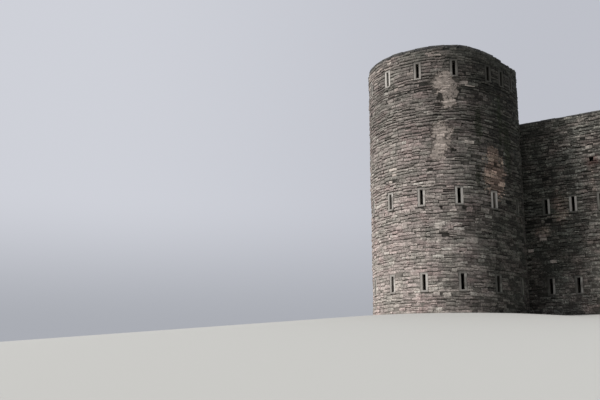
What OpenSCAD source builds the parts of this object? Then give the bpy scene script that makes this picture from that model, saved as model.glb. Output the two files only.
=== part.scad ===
/* [Tower] */
// Outer radius of the tower
tower_r = 4500; // [4300:50:4700]
// Wall thickness of the tower's ground storey
ground_wall_t = 1100; // [1050:10:1200]
// Wall thickness of the tower's middle storey
middle_wall_t = 1000; // [950:10:1040]
// Wall thickness of the tower's top storey
top_wall_t = 900; // [850:10:940]
// Wall thickness of the tower above its roof's bearing
parapet_t = 600; // [500:10:700]

/* [Levels] */
// Height of the ground floor above the lowest footing
ground_floor_z = 200; // [150:10:300]
// Height of the ground storey, from floor to floor
ground_storey_h = 4600; // [4400:20:4800]
// Height of the tower's middle storey, from floor to floor
middle_storey_h = 7400; // [7200:20:7600]
// Height of the tower's top storey, from its floor to the roof's edge
top_storey_h = 2480; // [2460:20:2600]
// Height of the wing's upper storey, from its floor to the roof
wing_storey_h = 3980; // [3800:20:4200]
// Height of the tower's wall head above its roof's edge
tower_parapet_h = 360; // [340:20:480]
// Height of the wing's wall head above its roof
wing_parapet_h = 2840; // [2740:20:3000]
// Thickness of a floor where it bears on the wall below
floor_t = 300; // [250:10:350]

/* [Domes and vaults] */
// Thickness of a dome or vault at its crown, with its floor
crown_t = 450; // [400:10:550]
// Rise of the dome over the tower's ground storey
low_dome_rise = 900; // [700:20:1100]
// Rise of the dome over the tower's middle storey
high_dome_rise = 2200; // [1800:20:2600]
// Rise of the shallow dome under the tower's roof
roof_dome_rise = 450; // [350:10:500]
// Fall of the tower's roof from its middle to its edge
roof_fall = 500; // [450:10:550]
// Rise of the wing's barrel vaults
barrel_rise = 900; // [700:20:1000]

/* [Loopholes] */
// Width of a loophole's slot
slot_w = 190; // [150:5:220]
// Height of a loophole's slot
slot_h = 870; // [750:10:890]
// Width of a dressed jamb stone
jamb_w = 120; // [90:2:140]
// Height of a dressed lintel stone
lintel_h = 100; // [80:5:130]
// Height of a sill stone
sill_h = 95; // [70:5:120]
// Depth of the dressed frame into the wall
frame_d = 260; // [200:10:320]
// How far a dressed frame stands out of the wall's face
frame_proud = 14; // [8:1:25]
// How far a sill stands out of the wall's face
sill_proud = 60; // [40:5:90]
// Width of a loophole's splay at the inner face
splay_w = 720; // [500:20:900]
// Height of the low row's slots above the ground floor
low_slot_up = 1060; // [1000:10:1200]
// Height of the middle row's slots above the first floor
mid_slot_up = 1180; // [1100:10:1250]
// Height of the top row's slots above the top floor
top_slot_up = 1190; // [1100:10:1200]
// Azimuth of the tower's first loophole, from +X
first_az = -108.5; // [-111:0.5:-106]
// Azimuth step between the tower's loopholes
step_az = 26.5; // [26:0.25:27]

/* [Flank] */
// Azimuth at which the courses of the tower's flank dip deepest
dip_az = 355; // [350:1:360]
// Azimuth from there to where the courses run level again
dip_half = 52; // [45:1:60]
// Dip of the loopholes in the tower's two upper rows
upper_dip = 360; // [100:10:400]
// Dip of the loopholes in the tower's low row
low_dip = 180; // [50:10:240]
// Dip of the tower's wall head
head_dip = 580; // [300:10:640]

/* [Passages] */
// Width of a passage or doorway
door_w = 900; // [800:10:1000]
// Height of a passage or doorway at its crown
door_h = 2080; // [1950:10:2200]
// Width of the doorway to the courtyard
court_door_w = 1300; // [1100:20:1500]
// Height of the doorway to the courtyard at its crown
court_door_h = 2500; // [2300:20:2700]

/* [Wing] */
// How far the wing's outer face stands behind the tower's axis
wing_set = 2500; // [2400:20:2600]
// How far the wing's corner wall stands to the left of the tower's axis
corner_set = 2500; // [2400:20:2600]
// Depth of the wing between its outer faces
wing_depth = 6400; // [6000:50:7000]
// Wall thickness of the wing's lower storey
wing_low_t = 1000; // [950:10:1100]
// Wall thickness of the wing's upper storey
wing_up_t = 900; // [850:10:940]
// Thickness of the wing's wall above its roof
wing_parapet_t = 600; // [500:10:700]
// Distance from the tower's axis to the wing's first loophole
wing_loop_x = 5280; // [5200:10:5400]
// Distance between the wing's loopholes
bay = 1570; // [1500:10:1620]
// Number of bays
bays = 6; // [4:1:6]
// Distance from the tower's axis to the middle of the doorway to the courtyard
court_door_x = 8420; // [8200:10:8600]
// Distance from the tower's axis to the corner wall's first loophole
corner_loop_y = 5250; // [5150:10:5400]
// Side of the square drain hole at the wing's roof
drain_w = 260; // [200:10:300]
// Distance from the tower's axis to the drain hole
drain_x = 8050; // [7950:10:8150]

/* [Coping] */
// Height of the tower's coping
tower_coping_h = 200; // [160:10:240]
// Height of the wing's coping
wing_coping_h = 130; // [100:10:160]
// How far a coping stone stands out of the wall's face
coping_proud = 25; // [15:1:40]
// Open joint between coping stones
coping_joint = 6; // [4:1:12]
// Azimuth where the coping that is left starts
coping_from = 58; // [50:1:65]
// Azimuth that one coping stone covers
coping_arc = 9; // [7.5,9,10]
// Number of coping stones left on the tower
coping_count = 31; // [24:1:32]
// Length of the wing's coping stones
coping_l = 1000; // [800:20:1200]

/* [Hidden] */

$fn = 360;
// Running gap between a curved seat and what it carries
seat = 0.3;
// How far a cut runs past the face that it opens
over = 60;
// Azimuth by which neighbouring cuts in the wall head overlap
cut_lap = 0.02;
frame_w = slot_w + 2 * jamb_w;
frame_h = sill_h + slot_h + lintel_h;
door_az = 90;

// Levels above the lowest footing
first_floor_z = ground_floor_z + ground_storey_h;
top_floor_z = first_floor_z + middle_storey_h;
tower_roof_z = top_floor_z + top_storey_h;
tower_head_z = tower_roof_z + tower_parapet_h;
wing_roof_z = first_floor_z + wing_storey_h;
wing_head_z = wing_roof_z + wing_parapet_h;
low_slot_z = ground_floor_z + low_slot_up;
mid_slot_z = first_floor_z + mid_slot_up;
top_slot_z = top_floor_z + top_slot_up;

// Bearing levels of the floors on the walls' ledges
first_bear_z = first_floor_z - floor_t;
top_bear_z = top_floor_z - floor_t;
roof_bear_z = tower_roof_z - floor_t;
wing_roof_bear_z = wing_roof_z - floor_t;

// Joints between the wall's segments, halfway between two loopholes
joints = [
    door_az,
    first_az + 360 - 3.5 * step_az,
    first_az + 360 - 1.5 * step_az,
    first_az + 360 + 0.5 * step_az,
    first_az + 360 + 2.5 * step_az,
    first_az + 360 + 4.5 * step_az,
    door_az + 360
];

// Azimuths of the loopholes: the top row has one more on the flank and two over the wing
row_az = [for (k = [-4:4]) first_az + 360 + k * step_az];
top_row_az = concat(
    [first_az + 360 - 5 * step_az],
    row_az,
    [first_az + 360 + 3.5 * step_az, first_az + 360 + 5 * step_az, first_az + 360 + 6 * step_az]
);

// Plan of the wing
wing_y0 = wing_set;
wing_y1 = wing_set + wing_depth;
wing_x0 = -corner_set;
wing_x1 = wing_loop_x + (bays - 0.5) * bay + wing_low_t;
wing_loops = [for (k = [0:bays - 1]) wing_loop_x + k * bay];
corner_loops = [for (k = [0:1]) corner_loop_y + k * bay];

stone_light = [0.62, 0.58, 0.55];
stone_mid = [0.55, 0.52, 0.49];
stone_dark = [0.40, 0.39, 0.37];
dressed = [0.72, 0.69, 0.64];

// Share of the full dip at one azimuth: level outside the flank, deepest at its middle
function dip_share(a) = abs(a - dip_az) < dip_half ? pow(cos(90 * (a - dip_az) / dip_half), 2) : 0;

// Sector of a disc between two azimuths
module sector(a0, a1, r) {
    steps = 8;
    polygon(concat(
        [[0, 0]],
        [for (i = [0:steps]) let (a = a0 + (a1 - a0) * i / steps) [r * cos(a), r * sin(a)]]
    ));
}

// Space of a passage through the wall at the door's azimuth, arched at its head
module door_space(w, h, z, y0, y1) {
    translate([0, y1, z])
        rotate([90, 0, 0])
            linear_extrude(y1 - y0)
                door_outline(w, h);
}

module door_outline(w, h) {
    union() {
        translate([-w / 2, 0])
            square([w, h - w / 2]);
        translate([0, h - w / 2])
            circle(d = w);
    }
}

// Loophole cut, with its mouth at the origin and its slot's bottom at z = 0
module loophole_cut(t) {
    translate([0, 0, -sill_h])
        linear_extrude(frame_h)
            polygon([
                [over, -frame_w / 2], [over, frame_w / 2],
                [-frame_d, frame_w / 2], [-frame_d, slot_w / 2],
                [-t - over, splay_w / 2], [-t - over, -splay_w / 2],
                [-frame_d, -slot_w / 2], [-frame_d, -frame_w / 2]
            ]);
}

module jamb_pair() {
    for (side = [-1, 1])
        translate([-frame_d, side * (slot_w + jamb_w) / 2 - jamb_w / 2, 0])
            cube([frame_d + frame_proud, jamb_w, slot_h]);
}

module lintel_stone() {
    translate([-frame_d, -frame_w / 2, slot_h])
        cube([frame_d + frame_proud, frame_w, lintel_h]);
}

// Sill with its outer edge weathered down to shed water
module sill_stone() {
    translate([0, frame_w / 2, -sill_h])
        rotate([90, 0, 0])
            linear_extrude(frame_w)
                polygon([
                    [-frame_d, 0], [sill_proud, 0], [sill_proud, sill_h - sill_proud / 3],
                    [0, sill_h], [-frame_d, sill_h]
                ]);
}

// Places its children at every loophole of one row of the tower
module at_tower_loops(angles, z, dip) {
    for (a = angles)
        rotate([0, 0, a])
            translate([tower_r, 0, z - dip * dip_share(a)])
                children();
}

module at_all_tower_loops() {
    at_tower_loops(row_az, low_slot_z, low_dip)
        children();
    at_tower_loops(row_az, mid_slot_z, upper_dip)
        children();
    at_tower_loops(top_row_az, top_slot_z, upper_dip)
        children();
}

// Places its children at the loopholes of the wing's front wall
module at_front_loops(z) {
    for (x = wing_loops)
        translate([x, wing_y0, z])
            rotate([0, 0, -90])
                children();
}

module at_corner_loops(z) {
    for (y = corner_loops)
        translate([wing_x0, y, z])
            rotate([0, 0, 180])
                children();
}

// Places its children at the loopholes towards the courtyard, leaving out the doorway's
module at_court_loops(z, skip_door) {
    for (x = wing_loops)
        if (!skip_door || abs(x - court_door_x) > (court_door_w + splay_w) / 2)
            translate([x, wing_y1, z])
                rotate([0, 0, 90])
                    children();
}

module at_all_wing_loops() {
    for (z = [low_slot_z, mid_slot_z]) {
        at_front_loops(z)
            children();
        at_corner_loops(z)
            children();
    }
    at_court_loops(low_slot_z, true)
        children();
    at_court_loops(mid_slot_z, false)
        children();
}

// Ring of masonry of one storey
module storey_ring(t, z0, z1) {
    translate([0, 0, z0])
        difference() {
            cylinder(r = tower_r, h = z1 - z0);
            translate([0, 0, -over])
                cylinder(r = tower_r - t, h = z1 - z0 + 2 * over);
        }
}

// Slab of height h under one arc of coping, tilted to follow the dip of the wall head
module head_bed(a, h) {
    fall = head_dip * (dip_share(a + coping_arc) - dip_share(a));
    drop = head_dip * (dip_share(a + coping_arc) + dip_share(a)) / 2;
    rotate([0, 0, a + coping_arc / 2])
        translate([0, 0, tower_head_z - drop])
            rotate([-atan(fall / (2 * tower_r * sin(coping_arc / 2))), 0, 0])
                translate([0, -tower_r, 0])
                    cube([2 * tower_r, 2 * tower_r, h]);
}

// What is gone over the dipped wall head, one arc of coping after the other
module dipped_head() {
    for (k = [0:ceil(360 / coping_arc) - 1])
        let (a = coping_from + k * coping_arc)
            if (dip_share(a) + dip_share(a + coping_arc) > 0)
                intersection() {
                    head_bed(a, 2 * head_dip);
                    translate([0, 0, top_floor_z])
                        linear_extrude(2 * top_storey_h)
                            sector(a - cut_lap, a + coping_arc + cut_lap, 2 * tower_r);
                }
}

// One segment of a storey's ring, between joints i and i + 1, with its loopholes
module wall_segment(i, t, z0, z1, angles, slot_z, dip) {
    difference() {
        intersection() {
            storey_ring(t, z0, z1);
            translate([0, 0, z0 - over])
                linear_extrude(z1 - z0 + 2 * over)
                    sector(joints[i], joints[i + 1], 2 * tower_r);
        }
        at_tower_loops([for (a = angles) if (a > joints[i] && a < joints[i + 1]) a], slot_z, dip)
            loophole_cut(t);
    }
}

// Room between a passage's jambs in the segments on both sides of it
module passage_room(z0, z1) {
    translate([-door_w / 2, 0, z0 - over])
        cube([door_w, 2 * tower_r, z1 - z0 + 2 * over]);
}

module ground_segment(i) {
    color(stone_mid)
        difference() {
            wall_segment(i, ground_wall_t, 0, first_bear_z, row_az, low_slot_z, low_dip);
            passage_room(0, first_bear_z);
        }
}

module middle_segment(i) {
    color(stone_light)
        difference() {
            wall_segment(i, middle_wall_t, first_bear_z, top_bear_z, row_az, mid_slot_z, upper_dip);
            passage_room(first_bear_z, top_bear_z);
        }
}

module top_segment(i) {
    color(stone_mid)
        difference() {
            wall_segment(i, top_wall_t, top_bear_z, tower_head_z, top_row_az, top_slot_z, upper_dip);
            translate([0, 0, roof_bear_z])
                cylinder(r = tower_r - parapet_t, h = tower_head_z);
            dipped_head();
        }
}

// Block of wall between the passage's jambs, from z0 to z1
module between_jambs(t, z0, z1) {
    intersection() {
        storey_ring(t, z0, z1);
        translate([-door_w / 2, 0, z0])
            cube([door_w, 2 * tower_r, z1 - z0]);
    }
}

// Arched head of a passage: the wall from the passage's crown up to the next bearing level
module passage_head(t, floor_z, z1) {
    difference() {
        between_jambs(t, floor_z + door_h - door_w / 2, z1);
        door_space(door_w, door_h, floor_z, 0, 2 * tower_r);
    }
}

module passage_heads() {
    color(stone_mid) {
        passage_head(ground_wall_t, ground_floor_z, first_bear_z);
        passage_head(middle_wall_t, first_floor_z, top_bear_z);
    }
}

module passage_thresholds() {
    color(dressed) {
        between_jambs(ground_wall_t, 0, ground_floor_z);
        between_jambs(middle_wall_t, first_bear_z, first_floor_z);
    }
}

module tower_ground_floor() {
    color(stone_dark)
        cylinder(r = tower_r - ground_wall_t - seat, h = ground_floor_z);
}

// Domed vault with a level floor on top: it springs from the wall below and bears on its ledge
module domed_floor(t_below, t_above, bear_z, top_z, rise) {
    r_in = tower_r - t_below - seat;
    r_out = tower_r - t_above - seat;
    ball_r = (r_in * r_in + rise * rise) / (2 * rise);
    crown_z = top_z - crown_t;
    spring_z = crown_z - rise;
    difference() {
        union() {
            translate([0, 0, spring_z])
                cylinder(r = r_in, h = top_z - spring_z);
            translate([0, 0, bear_z])
                cylinder(r = r_out, h = top_z - bear_z);
        }
        translate([0, 0, crown_z - ball_r])
            sphere(r = ball_r, $fn = 180);
    }
}

module tower_low_dome() {
    color(stone_dark)
        domed_floor(ground_wall_t, middle_wall_t, first_bear_z, first_floor_z, low_dome_rise);
}

module tower_high_dome() {
    color(stone_dark)
        domed_floor(middle_wall_t, top_wall_t, top_bear_z, top_floor_z, high_dome_rise);
}

// Shallow dome over the top storey: it bears on the wall's ledge and sheds water to its edge
module tower_roof() {
    r_in = tower_r - top_wall_t;
    r_out = tower_r - parapet_t - seat;
    ball_r = (r_in * r_in + roof_dome_rise * roof_dome_rise) / (2 * roof_dome_rise);
    color(stone_dark)
        difference() {
            translate([0, 0, roof_bear_z]) {
                cylinder(r = r_out, h = floor_t);
                translate([0, 0, floor_t])
                    cylinder(r1 = r_out, r2 = 0, h = roof_fall);
            }
            translate([0, 0, roof_bear_z + roof_dome_rise - ball_r])
                sphere(r = ball_r, $fn = 180);
        }
}

// Coping stones that are left on the tower's wall head, with open joints between them
module tower_coping() {
    joint_az = coping_joint / tower_r * 180 / PI;
    color(stone_dark)
        for (k = [0:coping_count - 1])
            let (a = coping_from + k * coping_arc)
                intersection() {
                    head_bed(a, tower_coping_h);
                    translate([0, 0, top_floor_z])
                        difference() {
                            cylinder(r = tower_r + coping_proud, h = 2 * top_storey_h);
                            translate([0, 0, -over])
                                cylinder(r = tower_r - parapet_t, h = 2 * top_storey_h + 2 * over);
                        }
                    translate([0, 0, top_floor_z])
                        linear_extrude(2 * top_storey_h)
                            sector(a + joint_az / 2, a + coping_arc - joint_az / 2, 2 * tower_r);
                }
}

// Room for the tower inside the wing's plan
module tower_room(z0, z1) {
    translate([0, 0, z0 - over])
        cylinder(r = tower_r + seat, h = z1 - z0 + 2 * over);
}

// Block between its lowest and its highest corner
module box_between(p0, p1) {
    translate(p0)
        cube(p1 - p0);
}

module wing_front_lower_wall() {
    color(stone_mid)
        difference() {
            box_between([0, wing_y0, 0], [wing_x1, wing_y0 + wing_low_t, first_bear_z]);
            tower_room(0, first_bear_z);
            at_front_loops(low_slot_z)
                loophole_cut(wing_low_t);
        }
}

module wing_front_upper_wall() {
    color(stone_mid)
        difference() {
            box_between([0, wing_y0, first_bear_z], [wing_x1, wing_y0 + wing_up_t, wing_head_z]);
            box_between(
                [-over, wing_y0 + wing_parapet_t, wing_roof_bear_z],
                [wing_x1 - wing_parapet_t, wing_y0 + wing_low_t, wing_head_z + over]
            );
            tower_room(first_bear_z, wing_head_z);
            at_front_loops(mid_slot_z)
                loophole_cut(wing_up_t);
            drain_hole();
        }
}

// Square drain hole through the wall, with its bottom level with the wing's roof
module drain_hole() {
    translate([drain_x - drain_w / 2, wing_y0 - over, wing_roof_z])
        cube([drain_w, wing_parapet_t + 2 * over, drain_w]);
}

module wing_corner_lower_wall() {
    color(stone_mid)
        difference() {
            box_between([wing_x0, wing_y0, 0], [wing_x0 + wing_low_t, wing_y1 - wing_low_t, first_bear_z]);
            tower_room(0, first_bear_z);
            at_corner_loops(low_slot_z)
                loophole_cut(wing_low_t);
        }
}

module wing_corner_upper_wall() {
    color(stone_mid)
        difference() {
            box_between(
                [wing_x0, wing_y0, first_bear_z],
                [wing_x0 + wing_up_t, wing_y1 - wing_up_t, wing_head_z]
            );
            box_between(
                [wing_x0 + wing_parapet_t, wing_y0, wing_roof_bear_z],
                [wing_x0 + wing_low_t, wing_y1, wing_head_z + over]
            );
            tower_room(first_bear_z, wing_head_z);
            at_corner_loops(mid_slot_z)
                loophole_cut(wing_up_t);
        }
}

// Lower courtyard wall, split beside and over its doorway
module court_lower(x0, x1) {
    color(stone_mid)
        difference() {
            box_between([x0, wing_y1 - wing_low_t, 0], [x1, wing_y1, first_bear_z]);
            at_court_loops(low_slot_z, true)
                loophole_cut(wing_low_t);
        }
}

module court_wall_left() {
    court_lower(wing_x0, court_door_x - court_door_w / 2);
}

module court_wall_right() {
    court_lower(court_door_x + court_door_w / 2, wing_x1);
}

module court_wall_over_door() {
    spring_z = ground_floor_z + court_door_h - court_door_w / 2;
    color(stone_mid)
        difference() {
            box_between(
                [court_door_x - court_door_w / 2, wing_y1 - wing_low_t, spring_z],
                [court_door_x + court_door_w / 2, wing_y1, first_bear_z]
            );
            translate([court_door_x, 0, 0])
                door_space(court_door_w, court_door_h, ground_floor_z, 0, wing_y1 + over);
        }
}

module court_upper_wall() {
    color(stone_mid)
        difference() {
            box_between([wing_x0, wing_y1 - wing_up_t, first_bear_z], [wing_x1, wing_y1, wing_head_z]);
            box_between(
                [wing_x0 + wing_parapet_t, wing_y1 - wing_low_t, wing_roof_bear_z],
                [wing_x1 - wing_parapet_t, wing_y1 - wing_parapet_t, wing_head_z + over]
            );
            at_court_loops(mid_slot_z, false)
                loophole_cut(wing_up_t);
        }
}

module wing_end_lower_wall() {
    color(stone_mid)
        box_between(
            [wing_x1 - wing_low_t, wing_y0 + wing_low_t, 0],
            [wing_x1, wing_y1 - wing_low_t, first_bear_z]
        );
}

module wing_end_upper_wall() {
    color(stone_mid)
        difference() {
            box_between(
                [wing_x1 - wing_up_t, wing_y0 + wing_up_t, first_bear_z],
                [wing_x1, wing_y1 - wing_up_t, wing_head_z]
            );
            box_between(
                [wing_x1 - wing_low_t, wing_y0, wing_roof_bear_z],
                [wing_x1 - wing_parapet_t, wing_y1, wing_head_z + over]
            );
        }
}

module wing_ground_floor() {
    color(stone_dark)
        difference() {
            union() {
                box_between(
                    [wing_x0 + wing_low_t, wing_y0 + wing_low_t, 0],
                    [wing_x1 - wing_low_t, wing_y1 - wing_low_t, ground_floor_z]
                );
                box_between(
                    [court_door_x - court_door_w / 2, wing_y1 - wing_low_t, 0],
                    [court_door_x + court_door_w / 2, wing_y1, ground_floor_z]
                );
            }
            tower_room(0, ground_floor_z);
        }
}

// Barrel vault along the wing with a level top: it springs from the walls and bears on their ledges
module barrel_floor(t_below, t_above, bear_z, top_z) {
    half = (wing_depth - 2 * t_below) / 2;
    arc_r = (half * half + barrel_rise * barrel_rise) / (2 * barrel_rise);
    crown_z = top_z - crown_t;
    spring_z = crown_z - barrel_rise;
    difference() {
        union() {
            box_between(
                [wing_x0 + t_below, wing_y0 + t_below, spring_z],
                [wing_x1 - t_below, wing_y1 - t_below, top_z]
            );
            box_between(
                [wing_x0 + t_above, wing_y0 + t_above, bear_z],
                [wing_x1 - t_above, wing_y1 - t_above, top_z]
            );
        }
        translate([wing_x0 + t_below - over, wing_y0 + t_below + half, crown_z - arc_r])
            rotate([0, 90, 0])
                cylinder(r = arc_r, h = wing_x1 - wing_x0);
        tower_room(spring_z, top_z);
    }
}

module wing_first_floor() {
    color(stone_dark)
        barrel_floor(wing_low_t, wing_up_t, first_bear_z, first_floor_z);
}

module wing_roof() {
    color(stone_dark)
        barrel_floor(wing_up_t, wing_parapet_t, wing_roof_bear_z, wing_roof_z);
}

// Run of coping stones along +X from the origin, with open joints
module coping_run(l, w) {
    count = max(1, round(l / coping_l));
    pitch = l / count;
    for (k = [0:count - 1])
        translate([k * pitch + coping_joint / 2, -coping_proud, 0])
            cube([pitch - coping_joint, w + coping_proud, wing_coping_h]);
}

module wing_coping() {
    tower_edge_y = sqrt(tower_r * tower_r - corner_set * corner_set);
    inner_x = sqrt(pow(tower_r, 2) - pow(wing_set + wing_parapet_t, 2));
    color(stone_dark)
        translate([0, 0, wing_head_z]) {
            difference() {
                translate([inner_x, wing_y0, 0])
                    coping_run(wing_x1 - wing_parapet_t - inner_x, wing_parapet_t);
                translate([0, 0, -wing_head_z])
                    tower_room(0, tower_head_z);
            }
            translate([wing_x1, wing_y0 - coping_proud, 0])
                rotate([0, 0, 90])
                    coping_run(wing_depth - wing_parapet_t + coping_proud, wing_parapet_t);
            translate([wing_x1 + coping_proud, wing_y1, 0])
                rotate([0, 0, 180])
                    coping_run(wing_x1 - wing_x0 + 2 * coping_proud, wing_parapet_t);
            difference() {
                translate([wing_x0, wing_y1 - wing_parapet_t, 0])
                    rotate([0, 0, -90])
                        coping_run(wing_y1 - wing_parapet_t - tower_edge_y + over, wing_parapet_t);
                translate([0, 0, -wing_head_z])
                    tower_room(0, tower_head_z);
            }
        }
}

module tower_jambs() {
    color(dressed)
        at_all_tower_loops()
            jamb_pair();
}

module tower_lintels() {
    color(dressed)
        at_all_tower_loops()
            lintel_stone();
}

module tower_sills() {
    color(dressed)
        at_all_tower_loops()
            sill_stone();
}

module wing_jambs() {
    color(dressed)
        at_all_wing_loops()
            jamb_pair();
}

module wing_lintels() {
    color(dressed)
        at_all_wing_loops()
            lintel_stone();
}

module wing_sills() {
    color(dressed)
        at_all_wing_loops()
            sill_stone();
}

ground_segment(0);  // tower_ground_wall_a
ground_segment(1);  // tower_ground_wall_b
ground_segment(2);  // tower_ground_wall_c
ground_segment(3);  // tower_ground_wall_d
ground_segment(4);  // tower_ground_wall_e
ground_segment(5);  // tower_ground_wall_f
middle_segment(0);  // tower_middle_wall_a
middle_segment(1);  // tower_middle_wall_b
middle_segment(2);  // tower_middle_wall_c
middle_segment(3);  // tower_middle_wall_d
middle_segment(4);  // tower_middle_wall_e
middle_segment(5);  // tower_middle_wall_f
top_segment(0);  // tower_top_wall_a
top_segment(1);  // tower_top_wall_b
top_segment(2);  // tower_top_wall_c
top_segment(3);  // tower_top_wall_d
top_segment(4);  // tower_top_wall_e
top_segment(5);  // tower_top_wall_f
passage_heads();
passage_thresholds();
tower_ground_floor();
tower_low_dome();
tower_high_dome();
tower_roof();
tower_coping();
tower_jambs();
tower_lintels();
tower_sills();
wing_front_lower_wall();
wing_front_upper_wall();
wing_corner_lower_wall();
wing_corner_upper_wall();
court_wall_left();
court_wall_right();
court_wall_over_door();
court_upper_wall();
wing_end_lower_wall();
wing_end_upper_wall();
wing_ground_floor();
wing_first_floor();
wing_roof();
wing_coping();
wing_jambs();
wing_lintels();
wing_sills();
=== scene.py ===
from functools import reduce
from math import atan, cos, degrees, hypot, pi, radians, sin, sqrt, tan

import bpy
import numpy as np
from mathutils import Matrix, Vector
from numpy.random import default_rng


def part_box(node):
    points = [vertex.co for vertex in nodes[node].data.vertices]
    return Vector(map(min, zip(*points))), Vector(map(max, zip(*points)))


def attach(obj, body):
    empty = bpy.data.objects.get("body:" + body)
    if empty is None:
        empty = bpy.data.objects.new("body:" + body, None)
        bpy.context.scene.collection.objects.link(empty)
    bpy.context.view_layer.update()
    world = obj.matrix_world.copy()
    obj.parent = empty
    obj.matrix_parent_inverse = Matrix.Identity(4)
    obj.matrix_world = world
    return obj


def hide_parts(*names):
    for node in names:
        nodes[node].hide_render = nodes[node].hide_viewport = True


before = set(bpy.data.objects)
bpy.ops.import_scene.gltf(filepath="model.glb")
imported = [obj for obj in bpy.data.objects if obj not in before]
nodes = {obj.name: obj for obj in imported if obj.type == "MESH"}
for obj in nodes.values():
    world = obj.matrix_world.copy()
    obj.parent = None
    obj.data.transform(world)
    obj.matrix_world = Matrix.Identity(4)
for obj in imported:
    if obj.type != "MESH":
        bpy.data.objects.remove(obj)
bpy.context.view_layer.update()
print("frame loaded:", len(nodes), "nodes")


def lowest(name):
    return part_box(name)[0]


def highest(name):
    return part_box(name)[1]


# Camera at the photo's place; azimuths and heights in metres and degrees from the frame's origin
view = {
    "place": (19.187, -41.059, -1.84),
    "turn": 36.364,  # to the left of the +Y direction
    "tilt": 11.307,  # up
    "lens": 44.54,
    "sensor": 36.0,
    "reach": 1000,
}


def addObject(name, data):
    obj = bpy.data.objects.new(name, data)
    bpy.context.scene.collection.objects.link(obj)
    return obj


def placeCamera(look):
    camera = addObject("camera", bpy.data.cameras.new("camera"))
    camera.location = look["place"]
    camera.rotation_euler = (radians(90 + look["tilt"]), 0, radians(look["turn"]))
    camera.data.lens = look["lens"]
    camera.data.sensor_width = look["sensor"]
    camera.data.clip_end = look["reach"]
    bpy.context.scene.camera = camera


placeCamera(view)

# Sizes read from the frame
tower = {
    "groundTop": highest("tower_ground_wall_d")[2],
    "middleTop": highest("tower_middle_wall_d")[2],
    "head": highest("tower_top_wall_b")[2],
    "roofRadius": highest("tower_roof")[0],
    "roofEdge": 14.68,  # level of the dome's rim
    "roofMiddle": highest("tower_roof")[2],
    "roofBearing": lowest("tower_roof")[2],
    "copingFrom": 58,  # azimuth where the coping that is left starts
    "copingTo": 337,
}
radius = -lowest("tower_middle_wall_d")[1]  # of the tower's face
wing = {
    "left": lowest("court_upper_wall")[0],
    "right": highest("court_upper_wall")[0],
    "front": lowest("wing_front_upper_wall")[1],
    "back": highest("court_upper_wall")[1],
    "head": highest("court_upper_wall")[2],
    "roof": highest("wing_roof")[2],
    "innerLeft": lowest("wing_roof")[0],
    "innerRight": highest("wing_roof")[0],
    "innerFront": lowest("wing_roof")[1],
    "innerBack": highest("wing_roof")[1],
}
loopholes = {
    "first": 251.5,  # azimuth of the left one of the three that face outward
    "step": 26.5,
    "rows": (1.26, 5.98, 13.39),  # bottoms of the slots
    "slot": (0.19, 0.87),
    "jamb": 0.12,
    "lintel": 0.1,
    "sill": 0.095,
    "underSill": 0.05,  # open bed below each sill
    "besideJamb": 0.02,
    "wingX": 5.28,
    "cornerY": 5.25,
    "bay": 1.57,
    "bays": 6,
}
courtDoor = {"x": 8.42, "width": 1.3, "height": 2.5, "floor": 0.2}
drain = {"x": 8.05, "z": 8.78, "side": 0.26}
# The courses and the wall head dip round the right flank, by these depths at these levels
dip = {
    "azimuth": 355,
    "half": 52,
    "levels": (0, 1.165, 2.21, 5.885, 14.34, 15.04),
    "depths": (0, 0.18, 0.18, 0.36, 0.36, 0.58),
}


def polar(reach, angle, level):
    return reach * cos(angle), reach * sin(angle), level


def dipShare(azimuth):
    away = (azimuth - dip["azimuth"] + 180) % 360 - 180
    return np.where(abs(away) < dip["half"], np.cos(np.radians(90 * away / dip["half"])) ** 2, 0)


def dipAt(level):
    return np.interp(level, dip["levels"], dip["depths"])


def dipSlope(azimuth, depth):
    return (dipShare(azimuth - 1) - dipShare(azimuth + 1)) * depth / radians(2) / radius


def patches(key, *rows):
    # Ellipses on a wall: azimuth or x, height, half width, half height, and the share of stones that change
    return [dict(zip((key, "z", "wide", "high", "share"), row)) for row in rows]


# Where the tower's old face is gone, rusty, streaked or hollow, and where the wing is stained
palePatches = patches(
    "azimuth",
    (298, 13.42, 0.38, 0.24),
    (297, 13.0, 0.74, 0.4),
    (299.3, 12.45, 0.55, 0.58),
    (299.8, 11.8, 0.42, 0.36),
    (292, 10.3, 0.4, 0.34),
    (294.5, 9.98, 0.6, 0.44),
    (293.3, 9.35, 0.5, 0.55),
    (290.5, 8.8, 0.43, 0.34),
)
rustPatches = patches("azimuth", (331.5, 8.8, 0.4, 0.6), (332.5, 7.6, 0.75, 1.15))
dripPatches = patches(
    "azimuth",
    (320.8, 10.5, 0.2, 1.05),
    (340, 10.9, 0.16, 1.3),
    (347, 9.4, 0.3, 1.5),
    (318.5, 7.5, 0.14, 0.5),
)
hollowPatches = patches("azimuth", (294, 11.95, 0.14, 0.42), (267, 13, 0.2, 0.08), (285, 12.95, 0.35, 0.08))
stainPatches = patches("x", (6.15, 6.3, 0.42, 0.95), (5.0, 4.9, 0.5, 0.3))
# Where a share of the stones is washed pale, on the tower and on the wing's front
washedPatches = patches(
    "azimuth",
    (312.5, 9.55, 0.34, 0.22, 0.8),
    (312.9, 12.86, 0.32, 0.14, 1.0),
    (273, 13.55, 0.36, 0.24, 0.7),
    (262, 13.1, 0.5, 0.16, 0.9),
    (290, 14.75, 0.45, 0.22, 0.8),
    (225, 14.3, 1.6, 0.55, 0.35),
    (246, 14.7, 1.2, 0.3, 0.35),
    (258, 11.3, 0.3, 0.12, 1.0),
    (254, 7.8, 0.35, 0.5, 0.4),
)
washedOnWing = patches(
    "x",
    (4.9, 4.65, 0.28, 0.26, 0.75),
    (4.32, 3.9, 0.16, 0.24, 1.0),
    (5.6, 3.15, 0.28, 0.09, 0.8),
    (6.0, 6.85, 0.14, 0.16, 1.0),
)
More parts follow.
